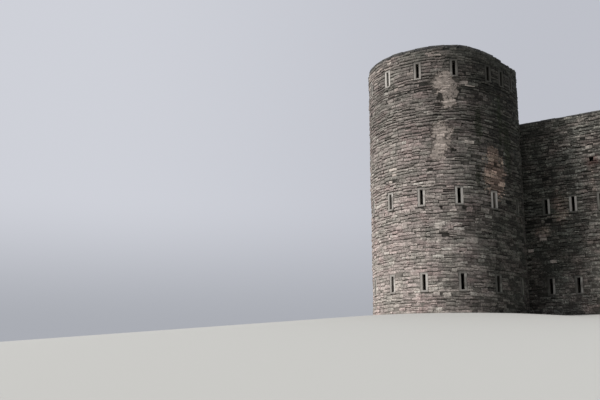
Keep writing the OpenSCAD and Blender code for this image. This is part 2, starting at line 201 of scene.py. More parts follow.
# Loopholes whose jambs have stayed clean, and the one whose whole frame has gone dull
cleanFrames = patches("azimuth", (304.5, 6.42, 0.5, 0.7), (251.5, 13.83, 0.5, 0.7), (331, 6.3, 0.5, 0.7))
cleanFrames += patches("x", (6.85, 6.42, 0.4, 0.7))
dullFrames = patches("azimuth", (278, 13.83, 0.5, 0.7))


def inPatch(along, level, patch):
    # Along is x in metres for a patch of the wing, and azimuth for one of the tower
    if "x" in patch:
        away = along - patch["x"]
    else:
        away = ((along - patch["azimuth"] + 180) % 360 - 180) * radians(radius)
    return (away / patch["wide"]) ** 2 + ((level - patch["z"]) / patch["high"]) ** 2 < 1


def inPatches(along, level, places):
    return np.any([inPatch(along, level, patch) for patch in places], axis=0)


def pickWashed(rng, along, level, places):
    # Marks the stones that are washed pale
    picked = np.zeros(len(along), bool)
    for patch in places:
        picked |= inPatch(along, level, patch) & (rng.random(len(along)) < patch["share"])
    return picked


# Courses of stones: each stone is (along, level, length, height, how far it stands out from 0 to 1)
rubble = {
    "course": (0.135, 0.23),
    "length": (0.24, 0.62),
    "joint": (-0.006, 0.009),
    "bed": (0.01, 0.075),  # open bed under a stone
    "bedSpread": (0.3, 1),  # how its openness varies from stone to stone
    "openLow": 0.6,  # how open the lowest beds are beside those at the first floor's level
    "openPower": 1.2,
    "thinShare": 0.14,  # share of stones that are two thin ones in one course
    "thinFrom": 0.17,
    "parting": (0.38, 0.62),  # where the two thin ones part
    "thinnest": 0.04,
    "missing": 0.01,
    "fallen": 0.42,  # share of the stones that the pale patches have lost
    "sway": 0.02,  # how far the beds wander up and down
    "ripples": (3.1, 5.0, 7.3, -3.0),  # how fast the two waves of the beds turn along and up
    "proud": (0.004, 0.052),
    "flatter": 0.85,  # how much less the stones of the pale patches stand out
    "embed": 0.06,
    "tilt": 3.2,
    "rollShare": 0.4,
}
wingRubble = {
    **rubble,
    "course": (0.15, 0.24),
    "length": (0.17, 0.48),
    "bed": (0.02, 0.085),
    "thinShare": 0.24,
    "missing": 0.014,
}
shortestRun = 0.05
overEdge = 0.03  # how far a course may pass the edge of a frame or of the tower


def courseLevels(rng, marks, thin, thick):
    levels = [marks[0]]
    for bottom, top in zip(marks, marks[1:]):
        count = max(1, round((top - bottom) / ((thin + thick) / 2)))
        shares = rng.uniform(thin, thick, count)
        levels += list(bottom + (top - bottom) * np.cumsum(shares) / shares.sum())
    return levels


def freeRuns(start, end, gaps):
    runs, at = [], start
    for a, b in sorted(gaps):
        if a > at:
            runs.append((at, min(a, end)))
        at = max(at, b)
    if at < end:
        runs.append((at, end))
    return [run for run in runs if run[1] - run[0] > shortestRun]


def cutRun(rng, a, b, shortest, longest):
    cuts = [a]
    while b - cuts[-1] > longest:
        cuts.append(cuts[-1] + rng.uniform(shortest, longest))
    cuts.append(b)
    if len(cuts) > 2 and cuts[-1] - cuts[-2] < shortest / 2:
        cuts.pop(-2)
    return list(zip(cuts, cuts[1:]))


def layCourses(rng, levels, startAt, endAt, gapsAt, look=rubble):
    stones = []
    waves = rng.uniform(0, 2 * pi, 2)
    a1, b1, a2, b2 = look["ripples"]
    tight, loose = look["bed"]
    for bottom, top in zip(levels, levels[1:]):
        openBed, lift = rng.random() ** look["openPower"], rng.random()
        openBed *= look["openLow"] + (1 - look["openLow"]) * bottom / tower["groundTop"]
        for a, b in freeRuns(startAt(bottom), endAt(bottom), gapsAt(bottom, top)):
            for left, right in cutRun(rng, a, b, *look["length"]):
                split = rng.random() < look["thinShare"] and top - bottom > look["thinFrom"]
                middle = bottom + (top - bottom) * rng.uniform(*look["parting"])
                beds = [(bottom, middle), (middle, top)] if split else [(bottom, top)]
                along = (left + right) / 2
                wave = sin(a1 * along + b1 * bottom + waves[0]) + sin(a2 * along + b2 * top + waves[1])
                for low, high in beds:
                    if rng.random() < look["missing"]:
                        continue
                    bed = tight + (loose - tight) * openBed * rng.uniform(*look["bedSpread"])
                    length = right - left - rng.uniform(*look["joint"])
                    height = max(high - low - bed, look["thinnest"])
                    level = high - height / 2 + look["sway"] * wave
                    stones.append((along, level, length, height, (lift + rng.random()) / 2))
    return np.array(stones)


frameHalf = loopholes["slot"][0] / 2 + loopholes["jamb"] + loopholes["besideJamb"]
frameTop = loopholes["slot"][1] + loopholes["lintel"]
frameBelow = loopholes["sill"] + loopholes["underSill"]


def frameGaps(places, rows):
    def gapsAt(bottom, top):
        gaps = []
        for row in rows:
            if top > row - frameBelow + overEdge and bottom < row + frameTop - overEdge:
                gaps += [(place - frameHalf, place + frameHalf) for place in places]
        return gaps
    return gapsAt


def rowMarks(low, high, rows):
    marks = [low]
    for row in rows:
        marks += [row - frameBelow, row + frameTop]
    return sorted(mark for mark in marks + [high] if low <= mark <= high)


# Places of the stones in space: centre, turn and size of each
def standOut(rng, stones):
    flat, most = rubble["proud"]
    proud = flat + (most - flat) * stones[:, 4]
    sizes = np.c_[stones[:, 2], proud + rubble["embed"], stones[:, 3]]
    tilts = np.radians(rng.normal(0, rubble["tilt"], (len(stones), 3))) * (1, rubble["rollShare"], 1)
    return (proud - rubble["embed"]) / 2, sizes, tilts


def azimuthOf(stones):
    return np.degrees(stones[:, 0] / radius)


def onTower(rng, stones):
    azimuth, level = azimuthOf(stones), stones[:, 1]
    stones[:, 4] *= 1 - rubble["flatter"] * inPatches(azimuth, level, palePatches)
    out, sizes, tilts = standOut(rng, stones)
    reach, angle = radius + out, np.radians(azimuth)
    places = np.c_[reach * np.cos(angle), reach * np.sin(angle), level - dipAt(level) * dipShare(azimuth)]
    tilts[:, 1] += np.arctan(dipSlope(azimuth, dipAt(level)))
    tilts[:, 2] += angle - pi / 2
    return places, tilts, sizes


def onWall(rng, stones, origin, facing):
    # The wall's run goes to the right of someone who looks at its face
    out, sizes, tilts = standOut(rng, stones)
    angle = radians(facing)
    normal = np.array([cos(angle), sin(angle), 0])
    along = np.array([-normal[1], normal[0], 0])
    places = np.array(origin) + stones[:, :1] * along + out[:, None] * normal
    places[:, 2] = stones[:, 1]
    tilts[:, 2] += angle - pi / 2
    return places, tilts, sizes


# Node helpers: they draw in the open tree; a value that is a socket is linked, any other is set
drawing = {"tree": None}


def feed(socket, value):
    if isinstance(value, bpy.types.NodeSocket):
        drawing["tree"].links.new(value, socket)
    else:
        socket.default_value = value


def addNode(kind, inputs=None, **settings):
    node = drawing["tree"].nodes.new(kind)
    for key, value in settings.items():
        setattr(node, key, value)
    for key, value in (inputs or {}).items():
        feed(node.inputs[key], value)
    return node


def made(kind, inputs=None, **settings):
    return addNode(kind, inputs, **settings).outputs[0]


def calc(operation, *values):
    return made("ShaderNodeMath", dict(enumerate(values)), operation=operation)


def times(*values):
    return reduce(lambda a, b: calc("MULTIPLY", a, b), values)


def plus(*values):
    return reduce(lambda a, b: calc("ADD", a, b), values)


def minus(a, b):
    return calc("SUBTRACT", a, b)


def most(a, b):
    return calc("MAXIMUM", a, b)


def isOver(a, b):
    return calc("GREATER_THAN", a, b)


def isUnder(a, b):
    return calc("LESS_THAN", a, b)


def gap(a, b):
    return calc("ABSOLUTE", minus(a, b))


def less(value, share, part=1.0):
    # The value without this part of the share
    return times(value, minus(1.0, times(share, part)))


def blend(share, a, b):
    return made("ShaderNodeMix", {0: share, 2: a, 3: b})


def vector(operation, *values):
    node = addNode("ShaderNodeVectorMath", dict(enumerate(values)), operation=operation)
    return node.outputs["Value" if operation in ("LENGTH", "DISTANCE", "DOT_PRODUCT") else "Vector"]


def objectPlace():
    return addNode("ShaderNodeTexCoord").outputs["Object"]


def splitAxes(place):
    return addNode("ShaderNodeSeparateXYZ", {0: place}).outputs


def joinAxes(x, y, z=0.0):
    return made("ShaderNodeCombineXYZ", {0: x, 1: y, 2: z})


def stoneValue(name):
    return addNode("ShaderNodeAttribute", attribute_name=name).outputs["Fac"]


def ramp(value, low, high, start=0.0, end=1.0):
    inputs = {"Value": value, "From Min": low, "From Max": high, "To Min": start, "To Max": end}
    return made("ShaderNodeMapRange", inputs, interpolation_type="SMOOTHSTEP")


def noise(place, scale, detail=4.0, rough=0.55, output="Fac"):
    inputs = {"Vector": place, "Scale": scale, "Detail": detail, "Roughness": rough}
    return addNode("ShaderNodeTexNoise", inputs).outputs[output]


def spots(place, scale, detail, rough, *limits):
    # Noise of this scale, detail and roughness, ramped between the limits
    return ramp(noise(place, scale, detail, rough), *limits)


def mix(share, a, b, mode="MIX"):
    node = addNode("ShaderNodeMix", data_type="RGBA", blend_type=mode)
    for index, value in ((0, share), (6, a), (7, b)):
        feed(node.inputs[index], (*value, 1) if isinstance(value, tuple) else value)
    return node.outputs[2]


def tinted(colour, tint):
    return mix(1.0, colour, tint, "MULTIPLY")


def shaded(colour, level):
    return tinted(colour, made("ShaderNodeCombineColor", {0: level, 1: level, 2: level}))


def colourStops(value, stops):
    node = addNode("ShaderNodeValToRGB", {"Fac": value})
    elements = node.color_ramp.elements
    while len(elements) < len(stops):
        elements.new(0.5)
    for element, (place, colour) in zip(elements, stops):
        element.position = place
        element.color = (*colour, 1)
    return node.outputs["Color"]


# Weathering that all the masonry shares, from its place on the building
weather = {
    "wave": (0.55, 5),  # scale and detail of the noise that moves all edges
    "wander": {"corner": 2, "band": 1.4, "head": 2, "trace": 1.2, "upperDark": 3},  # how far it moves them
    "onWing": (0.1, 0.35),  # distances from the tower's face between which the wing begins
    "dampMiddle": 5,  # azimuth of the darkest side
    "dampFrom": 91,  # degrees away from it where the dark begins
    "dampFull": 27,
    "dampEase": (5.0, 6.8, 9.2, 10.0, 9),  # levels between which it begins this many degrees later
    "wobble": 30,
    "corner": (3.9, 2.5),  # where the wing meets the tower
    "cornerReach": (1.8, 4.4),
    "wingDamp": 0.7,
    "footDry": (3.2, 0.6, 2.5),  # the dark draws back towards the foot, by this much in the end
    "headDry": (8.3, 9.8, 0.9),  # and towards the head
    "wingTop": (1.5, 0.4, 0, 0.45),
    "topBand": (13.6, 14.6),
    "topFrom": (-101, -85),  # azimuths from the darkest side between which the dark top begins
    "ragged": (4.2, 5, 0.7, 2.6),  # noise of the patches' edges, and how far they stray
    "ownEdge": 0.3,  # how far a patch's edge follows whole stones
    "edge": (1.06, 0.92),  # reaches at which a patch begins and is full
    # Dark line along the pale patches' edge: partly a dirt line at the broken edge, partly painted shadow of
    # the recess
    "rim": ((0.8, 0.98), (1.25, 1.03)),
    "washed": 0.72,
    "drainTrace": (2.6, 0.1, 0.25),  # its length below the drain hole, and where it fades out above
    "traceWidth": (0.35, 0.0),
    "ring": (0.36, 0.28),  # reach of the dark red ring around the drain hole
    "ringEdge": (1.4, 0.5, 0, 0.7),
    "stainEdge": (1.3, 0.7),
    "stained": (0.6, 0.3),  # rust on the wing's stains, and how much less damp they are
    "flow": (2.6, 2.6, 0.28),
    "streaks": (1.0, 5, 0.6, 0.35, 0.7),
    "layers": (1, 1, 1.7),
    "regions": (0.8, 3, 0.5, 0.3, 0.7),
    "frontFade": 0.2,
    "roofDepth": (-0.1, 0.05),  # indoors begins this far under the tower's and the wing's roof
    "faceDepth": (0.22, 0.25),  # depth behind the tower's and the wing's face that counts as outdoors
    "dryRust": 0.76,  # share of the damp that the rusty patches are free of
    "upperDarkRise": (2.5, 14.5),  # the upper courses are darker, between these levels
    "paleKeeps": (("Damp", 1.0), ("Top", 1.0), ("UpperDark", 0.85)),  # what the pale patches are free of
}
outside = 9.0  # a reach outside every patch
besideTower = radius + 0.1  # x from which the wing's front is seen
behindFront = wing["front"] + 0.1
washedTint = 2.0  # a washed stone's own tint, past all others


def azimuthFrom(axes, middle):
    along, across = cos(radians(middle)), sin(radians(middle))
    ahead = plus(times(axes["X"], along), times(axes["Y"], across))
    side = minus(times(axes["Y"], along), times(axes["X"], across))
    return calc("DEGREES", calc("ARCTAN2", side, ahead))


def patchReach(axes, ragged, patch):
    # 1 on the patch's edge, and less inside it
    if "x" in patch:
        behind = isOver(axes["Y"], behindFront)
        away = plus(gap(axes["X"], patch["x"]), times(behind, outside))
    else:
        away = times(azimuthFrom(axes, patch["azimuth"]), radians(radius))
    across = calc("POWER", calc("DIVIDE", away, patch["wide"]), 2)
    along = calc("POWER", calc("DIVIDE", minus(axes["Z"], patch["z"]), patch["high"]), 2)
    return plus(calc("SQRT", plus(across, along)), ragged)


def nearest(axes, ragged, places):
    far = outside
    for patch in places:
        far = calc("MINIMUM", patchReach(axes, ragged, patch), far)
    return far


def buildWeathering(look):
    tree = drawing["tree"] = bpy.data.node_groups.new("weathering", "ShaderNodeTree")
    place = objectPlace()
    axes = splitAxes(place)
    level = axes["Z"]
    wander = look["wander"]
    wave = minus(noise(place, *look["wave"]), 0.5)
    fromAxis = vector("LENGTH", joinAxes(axes["X"], axes["Y"]))
    onWing = ramp(fromAxis, *(radius + past for past in look["onWing"]))

    swing = azimuthFrom(axes, look["dampMiddle"])
    start, full, ebb, end, later = look["dampEase"]
    waist = times(ramp(level, start, full), ramp(level, end, ebb))
    turned = plus(calc("ABSOLUTE", swing), times(wave, look["wobble"] * 2), times(waist, later))
    dampTower = ramp(turned, look["dampFrom"], look["dampFull"])
    apart = plus(vector("DISTANCE", place, joinAxes(*look["corner"], level)), times(wave, wander["corner"]))
    for low, high, reach in (look["footDry"], look["headDry"]):
        apart = plus(apart, ramp(level, low, high, 0, reach))
    dampWing = ramp(apart, *look["cornerReach"], 1.0, look["wingDamp"])
    band = ramp(plus(level, times(wave, wander["band"])), *look["topBand"])
    wingTop = ramp(minus(wing["head"], plus(level, times(wave, wander["head"]))), *look["wingTop"])
    shares = {
        "Damp": blend(onWing, dampTower, dampWing),
        "Top": blend(onWing, times(band, ramp(swing, *look["topFrom"])), wingTop),
    }

    own = stoneValue("stoneTint")
    *grain, stray = look["ragged"]
    ragged = plus(times(minus(noise(place, *grain), 0.5), stray), times(minus(own, 0.5), look["ownEdge"]))
    kinds = {"Pale": palePatches, "Rust": rustPatches, "HollowShade": hollowPatches, "Drip": dripPatches}
    for name, places in kinds.items():
        far = plus(nearest(axes, ragged, places), times(onWing, outside))
        shares[name] = ramp(far, *look["edge"])
        if name == "Pale":
            shares["RimDirtAndShade"] = times(*(ramp(far, *limits) for limits in look["rim"]))
            washed = times(isOver(own, washedTint - 0.5), look["washed"])
            shares[name] = most(shares[name], washed)

    length, under, over = look["drainTrace"]
    below = ramp(level, drain["z"] - length, drain["z"] + under)
    below = times(below, ramp(level, drain["z"] + over, drain["z"] + under))
    beside = plus(gap(axes["X"], drain["x"]), times(wave, wander["trace"]))
    stained = ramp(nearest(axes, ragged, stainPatches), *look["stainEdge"])
    stained = most(times(ramp(beside, *look["traceWidth"]), below), stained)
    stained = times(stained, ramp(axes["Y"], behindFront + look["frontFade"], behindFront), onWing)
    ring, = patches("x", (drain["x"] + drain["side"] / 2, drain["z"], *look["ring"]))
    shares["Brick"] = ramp(patchReach(axes, ragged, ring), *look["ringEdge"])
    shares["Streak"] = spots(vector("MULTIPLY", place, look["flow"]), *look["streaks"])
    shares["Region"] = spots(vector("MULTIPLY", place, look["layers"]), *look["regions"])

    inTower = times(isUnder(fromAxis, radius - look["faceDepth"][0]),
                    isUnder(level, tower["roofBearing"] - look["roofDepth"][0]))
    inWing = isUnder(level, wing["roof"] - look["roofDepth"][1])
    for axis, low, high in (("X", wing["left"], wing["right"]), ("Y", wing["front"], wing["back"])):
        half = (high - low) / 2 - look["faceDepth"][1]
        inWing = times(inWing, isUnder(gap(axes[axis], (low + high) / 2), half))
    shares["Indoors"] = most(inTower, inWing)

    shares["UpperDark"] = less(ramp(plus(level, times(wave, wander["upperDark"])), *look["upperDarkRise"]), onWing)
    for name, lost in look["paleKeeps"]:
        shares[name] = less(shares[name], shares["Pale"], lost)
    rust, drier = look["stained"]
    shares["Damp"] = less(less(shares["Damp"], shares["Rust"], look["dryRust"]), stained, drier)
    shares["Rust"] = most(shares["Rust"], times(stained, rust))
    for name in shares:
        tree.interface.new_socket(name, in_out="OUTPUT", socket_type="NodeSocketFloat")
    addNode("NodeGroupOutput", shares)
    return tree


weathering = buildWeathering(weather)
masonryShine = 0.25


def newMaterial(name, roughness):
    material = bpy.data.materials.new(name)
    material.use_nodes = True
    shader = material.node_tree.nodes["Principled BSDF"]
    shader.inputs["Roughness"].default_value = roughness
    return material, shader


def startMaterial(name, look):
    material, shader = newMaterial(name, look["rough"])
    shader.inputs["Specular IOR Level"].default_value = masonryShine
    drawing["tree"] = material.node_tree
    return material, shader, objectPlace()


def weatherShares():
    return addNode("ShaderNodeGroup", node_tree=weathering).outputs


def finishMaterial(shader, colour, height, look):
    strength, distance = look["bump"]
    bump = addNode("ShaderNodeBump", {"Height": height, "Strength": strength, "Distance": distance})
    feed(shader.inputs["Base Color"], colour)
    feed(shader.inputs["Normal"], bump.outputs[0])


# Layers of age, the last on top: share, how much of it shows, colour, whether it tints what is below
aging = (
    ("Streak", 0.35, (0.13, 0.12, 0.11), False),
    ("Rust", 1.0, (1.07, 0.92, 0.82), True),
    ("UpperDark", 1.0, (0.56, 0.57, 0.565), True),
    # Dark line along the pale patches' edge: partly dirt, partly painted shadow of the recess
    ("RimDirtAndShade", 0.75, (0.06, 0.052, 0.045), False),
    ("Damp", 1.0, (0.186, 0.203, 0.193), True),
    ("Top", 0.45, (0.075, 0.078, 0.068), False),
    ("Brick", 1.0, (0.085, 0.045, 0.04), False),
    ("Drip", 0.7, (0.022, 0.027, 0.016), False),
)


def age(colour, share):
    for name, part, layer, tints in aging:
        colour = mix(times(share[name], part), colour, tinted(colour, layer) if tints else layer)
    return colour


# In the looks, a noise has its scale, detail and roughness, then the values between which it is ramped
rubbleLook = {
    "rough": 0.93,
    "bump": (0.8, 0.014),  # strength and distance
    "tints": (
        (0.0, (0.395, 0.375, 0.34)),
        (0.3, (0.455, 0.41, 0.375)),
        (0.6, (0.47, 0.405, 0.38)),
        (1.0, (0.435, 0.34, 0.322)),
    ),
    "ownTint": 0.3,  # share of the stone's own tint beside that of its region
    "tone": (0.75, 1.23),
    "mottle": (13, 7, 0.62, 0.3, 0.7, 0.56, 1.4),
    "dampTone": (0.66, 1.38),
    "dampMottle": (11, 5, 0.8, 0.34, 0.66, 0.45, 1.7),
    "fleck": (0.36, 0.36, 0.30),
    "flecks": (6.5, 8, 0.8, 0.56, 0.66, 0, 0.45),
    "brightFrom": 0.95,  # the palest few stones
    "bright": (0.64, 0.60, 0.55),
    "pale": (0.54, 0.465, 0.42),
    "paleShare": 0.88,
    "lichen": (0.10, 0.105, 0.085),
    "lichens": (5.5, 6, 0.7, 0.57, 0.67, 0, 0.7),
    "speckle": 1.25,  # how much paler the specks are
    "specks": (12, 3, 0.65, 0.57, 0.63, 1.0),
    "coarse": (22, 8, 0.65),
    "fine": (90, 4),
    "fineShare": 0.35,
}
wingLook = {
    **rubbleLook,
    "tints": (
        (0.0, (0.36, 0.35, 0.325)),
        (0.3, (0.42, 0.395, 0.36)),
        (0.6, (0.445, 0.39, 0.36)),
        (1.0, (0.43, 0.34, 0.315)),
    ),
    "tone": (0.74, 1.22),
    "dampTone": (0.72, 1.34),
    "brightFrom": 0.975,
    "bright": (0.50, 0.455, 0.42),
    "speckle": 2.1,
}


def stoneMaterial(name, look):
    material, shader, place = startMaterial(name, look)
    share, tint, tone = weatherShares(), stoneValue("stoneTint"), stoneValue("stoneTone")
    colour = colourStops(blend(look["ownTint"], share["Region"], tint), look["tints"])
    bright = times(isOver(tint, look["brightFrom"]), tone)
    colour = mix(bright, colour, look["bright"])
    level = times(ramp(tone, 0, 1, *look["tone"]), spots(place, *look["mottle"]))
    colour = mix(spots(place, *look["lichens"]), shaded(colour, level), look["lichen"])
    pale = shaded(look["pale"], calc("SQRT", level))
    colour = age(mix(times(share["Pale"], look["paleShare"]), colour, pale), share)
    uneven = times(ramp(tone, 0, 1, *look["dampTone"]), spots(place, *look["dampMottle"]))
    colour = shaded(colour, blend(most(share["Damp"], share["Rust"]), 1.0, uneven))
    colour = mix(times(spots(place, *look["flecks"]), share["Damp"]), colour, look["fleck"])
    colour = shaded(colour, spots(place, *look["specks"], look["speckle"]))
    height = plus(noise(place, *look["coarse"]), times(noise(place, *look["fine"]), look["fineShare"]))
    finishMaterial(shader, colour, height, look)
    return material


mortarLook = {
    "rough": 0.95,
    "bump": (0.6, 0.01),
    "filled": (0.25, 0.225, 0.205),
    "fuller": (5.5, 0.5, 0, 0.14),  # more of the joints are filled from this level down
    "fill": (1.1, 6, 0.6),
    "fillPale": 0.4,
    "fillEdge": (0.46, 0.66),
    # Near-black of open joints: painted shade standing in for the shade in their depth
    "open": (0.025, 0.023, 0.02),
    "bare": (0.45, 0.385, 0.345),
    "crumbs": (7, 5, 0.7, 0.36, 0.5),
    "grain": (40, 6, 0.7),
    "grainEdge": (0.35, 0.7, 0, 0.35),
    "dust": (0.2, 0.18, 0.16),
    "inside": (0.60, 0.58, 0.53),
    "insideDirt": (0.40, 0.37, 0.33),
    "dirt": (1.7, 6, 0.65, 0.45, 0.65),
}


def mortarMaterial(name, look):
    material, shader, place = startMaterial(name, look)
    share = weatherShares()
    fill = plus(noise(place, *look["fill"]), times(share["Pale"], look["fillPale"]))
    fill = plus(fill, ramp(splitAxes(place)["Z"], *look["fuller"]))
    colour = mix(ramp(fill, *look["fillEdge"]), look["open"], look["filled"])
    bare = mix(spots(place, *look["crumbs"]), look["open"], look["bare"])
    colour = mix(share["Pale"], colour, bare)
    # The hollows, where stones are left out, are painted near-black: painted shade
    colour = mix(share["HollowShade"], colour, look["open"])
    grain = noise(place, *look["grain"])
    colour = age(mix(ramp(grain, *look["grainEdge"]), colour, look["dust"]), share)
    lime = mix(spots(place, *look["dirt"]), look["inside"], look["insideDirt"])
    colour = mix(share["Indoors"], colour, lime)
    finishMaterial(shader, colour, grain, look)
    return material


dressedLook = {
    "rough": 0.85,
    "bump": (0.4, 0.006),
    "stone": ((0.50, 0.475, 0.445), (0.67, 0.64, 0.60)),
    "grain": (34, 7, 0.6),
    "soilAndShade": (0.20, 0.18, 0.165),
    "soil": (1.9, 3, 0.5, 0.46, 0.6),
    "soiling": (0.0, 0.75),
    "upper": (12.6, 13.4),  # duller above this level
    "upperDull": (0.3, 0.55),  # by this much, and by more on the damp side
    "dull": 0.5,  # how much darker the left jambs are: painted shade on the side away from the light
    "drier": (0.1, 0.62),  # how much less of the damp darkening the right jambs get, on the tower and on the wing: painted light on the side towards the light
    "wet": (0.25, 0.265, 0.25),
    # tint deeper in the reveals: partly dirt, partly painted shade
    "dark": (0.32, 0.32, 0.31),
    "inner": (0.42, 0.41, 0.38),
    "revealDirtAndShadeFrom": (0.03, 0.1),
    "frameEdge": (1.1, 0.95),
    "clean": (0.95, 0.65),  # how much less soiled and less damp the clean jambs are
    "dullFrame": 0.6,
    "tooling": {"Scale": 18, "Distortion": 3, "Detail": 3},
    "toolingShare": 0.3,
}
bedLook = {**dressedLook, "soiling": (0.5, 0.75)}


def rightOfLoophole(axes, onWing):
    # 1 on the right half of each frame, from the loopholes' spacing on the tower and on the wing
    turn = calc("DIVIDE", azimuthFrom(axes, loopholes["first"]), loopholes["step"])
    run = calc("DIVIDE", minus(axes["X"], loopholes["wingX"]), loopholes["bay"])
    return isUnder(calc("FLOORED_MODULO", blend(onWing, turn, run), 1.0), 0.5)


def dressedMaterial(name, look, sided):
    material, shader, place = startMaterial(name, look)
    share = weatherShares()
    axes = splitAxes(place)
    onWing = isOver(axes["X"], besideTower)
    grain = noise(place, *look["grain"])
    wetness = share["Damp"]
    soilAndShade = spots(place, *look["soil"], *look["soiling"])
    high = ramp(axes["Z"], *look["upper"])
    dull, damper = look["upperDull"]
    soilAndShade = most(soilAndShade, plus(times(high, dull), times(wetness, damper, high)))
    if sided:
        # Left jambs darkened as painted shade, right jambs kept paler as painted light
        right = rightOfLoophole(axes, onWing)
        soilAndShade = most(soilAndShade, times(minus(1.0, right), look["dull"]))
        wetness = less(wetness, right, blend(onWing, *look["drier"]))
        clean = ramp(nearest(axes, 0.0, cleanFrames), *look["frameEdge"])
        soilAndShade = less(soilAndShade, clean, look["clean"][0])
        wetness = less(wetness, clean, look["clean"][1])
    dulled = ramp(nearest(axes, 0.0, dullFrames), *look["frameEdge"])
    soilAndShade = most(soilAndShade, times(dulled, look["dullFrame"]))
    colour = mix(soilAndShade, mix(grain, *look["stone"]), look["soilAndShade"])
    # Depth into the wall, from the tower's face or from the wing's front
    depth = minus(radius, vector("LENGTH", joinAxes(axes["X"], axes["Y"])))
    depth = blend(onWing, depth, minus(axes["Y"], wing["front"]))
    # Darker with depth into the reveals: partly dirt, partly painted shade
    for part, tint in ((ramp(depth, *look["revealDirtAndShadeFrom"]), "inner"), (wetness, "wet"), (share["Top"], "dark")):
        colour = mix(part, colour, tinted(colour, look[tint]))
    waves = addNode("ShaderNodeTexWave", {"Vector": place, **look["tooling"]}, bands_direction="DIAGONAL")
    height = plus(grain, times(waves.outputs["Fac"], look["toolingShare"]))
    finishMaterial(shader, colour, height, look)
    return material


slabLook = {
    "rough": 0.9,
    "bump": (0.6, 0.012),
    "patches": (2.4, 7, 0.65, 0.35, 0.65),
    "lichens": (9, 6, 0.7, 0.56, 0.64, 0, 0.7),
    "grain": (30, 8, 0.7),
    "grainEdge": (0.3, 0.7, 0, 0.4),
}


def slabMaterial(name, pale, dark, lichen, look=slabLook):
    material, shader, place = startMaterial(name, look)
    colour = mix(spots(place, *look["patches"]), dark, pale)
    colour = mix(spots(place, *look["lichens"]), colour, lichen)
    grain = noise(place, *look["grain"])
    colour = mix(ramp(grain, *look["grainEdge"]), colour, dark)
    finishMaterial(shader, colour, grain, look)
    return material


materials = {
    "stone": stoneMaterial("weatheredRubble", rubbleLook),
    "wingStone": stoneMaterial("wingRubble", wingLook),
    "mortar": mortarMaterial("limeMortar", mortarLook),
    "jambs": dressedMaterial("jambLimestone", dressedLook, True),
    "dressed": dressedMaterial("dressedLimestone", bedLook, False),
    "coping": slabMaterial("copingSlabs", (0.13, 0.125, 0.12), (0.05, 0.05, 0.052), (0.30, 0.31, 0.27)),
    "paving": slabMaterial("pavingFlags", (0.30, 0.28, 0.25), (0.14, 0.135, 0.12), (0.36, 0.37, 0.32)),
}
print("materials made")


# Geometry nodes: a rough stone at each point, sized and turned by the point's own values
stoneShape = {
    "Side edge": 0.985,
    "Bed edge": 0.78,
    "Bulge": 0.1,
    "Wander": 0.07,
    "Wander scale": 1.9,
    "Chip": 0.07,
    "Chip scale": 6.5,
}
stoneBlock = {
    "face": 0.25,  # part of the depth from which on a layer belongs to the face
    "inner": 0.4,  # half of the face inside its outer ring
    "push": 0.26,  # the middle layer moves this far towards the face
}


def buildStoneTree(shape, block):
    tree = drawing["tree"] = bpy.data.node_groups.new("layStones", "GeometryNodeTree")
    sockets = {}
    inputs = [("Geometry", "Geometry", None), *((name, "Float", value) for name, value in shape.items())]
    for name, kind, value in inputs + [("Layers", "Int", 3), ("Finish", "Material", None)]:
        sockets[name] = tree.interface.new_socket(name, in_out="INPUT", socket_type="NodeSocket" + kind)
        if value is not None:
            sockets[name].default_value = value
    tree.interface.new_socket("Geometry", in_out="OUTPUT", socket_type="NodeSocketGeometry")
    given = addNode("NodeGroupInput").outputs
    inputs = {"Size": (1, 1, 1), "Vertices X": 4, "Vertices Y": given["Layers"], "Vertices Z": 3}
    cube = made("GeometryNodeMeshCube", inputs)
    place = made("GeometryNodeInputPosition")
    axes = splitAxes(place)
    halves = {"Y": block["face"], "X": block["inner"], "Z": block["inner"]}
    front = isOver(axes["Y"], block["face"])
    middle, *inside = (isUnder(calc("ABSOLUTE", axes[axis]), half)
                       for axis, half in halves.items())
    pushed = plus(times(middle, block["push"]), times(*inside, front, given["Bulge"]))
    shaped = joinAxes(times(axes["X"], blend(front, 1.0, given["Side edge"])), plus(axes["Y"], pushed),
                      times(axes["Z"], blend(front, 1.0, given["Bed edge"])))
    cube = made("GeometryNodeSetPosition", {"Geometry": cube, "Position": shaped})
    inputs = {"Points": given["Geometry"], "Instance": cube}
    for socket, name in (("Rotation", "stoneTurn"), ("Scale", "stoneSize")):
        value = addNode("GeometryNodeInputNamedAttribute", {"Name": name}, data_type="FLOAT_VECTOR")
        inputs[socket] = value.outputs["Attribute"]
    laid = made("GeometryNodeInstanceOnPoints", inputs)
    laid = made("GeometryNodeRealizeInstances", {0: laid})
    shifts = []
    for size, scale in (("Wander", "Wander scale"), ("Chip", "Chip scale")):
        centred = vector("SUBTRACT", noise(place, given[scale], 2, 0.5, "Color"), (0.5, 0.5, 0.5))
        shifts.append(made("ShaderNodeVectorMath", {0: centred, "Scale": given[size]}, operation="SCALE"))
    laid = made("GeometryNodeSetPosition", {"Geometry": laid, "Offset": vector("ADD", *shifts)})
    laid = made("GeometryNodeSetMaterial", {"Geometry": laid, "Material": given["Finish"]})
    addNode("NodeGroupOutput", {0: laid})
    return tree, sockets


stoneTree, stoneSockets = buildStoneTree(stoneShape, stoneBlock)


def makePlain(obj):
    # Turns the nodes' result into a plain mesh
    shown = obj.evaluated_get(bpy.context.evaluated_depsgraph_get())
    mesh = bpy.data.meshes.new_from_object(shown)
    obj.modifiers.clear()
    obj.data = mesh


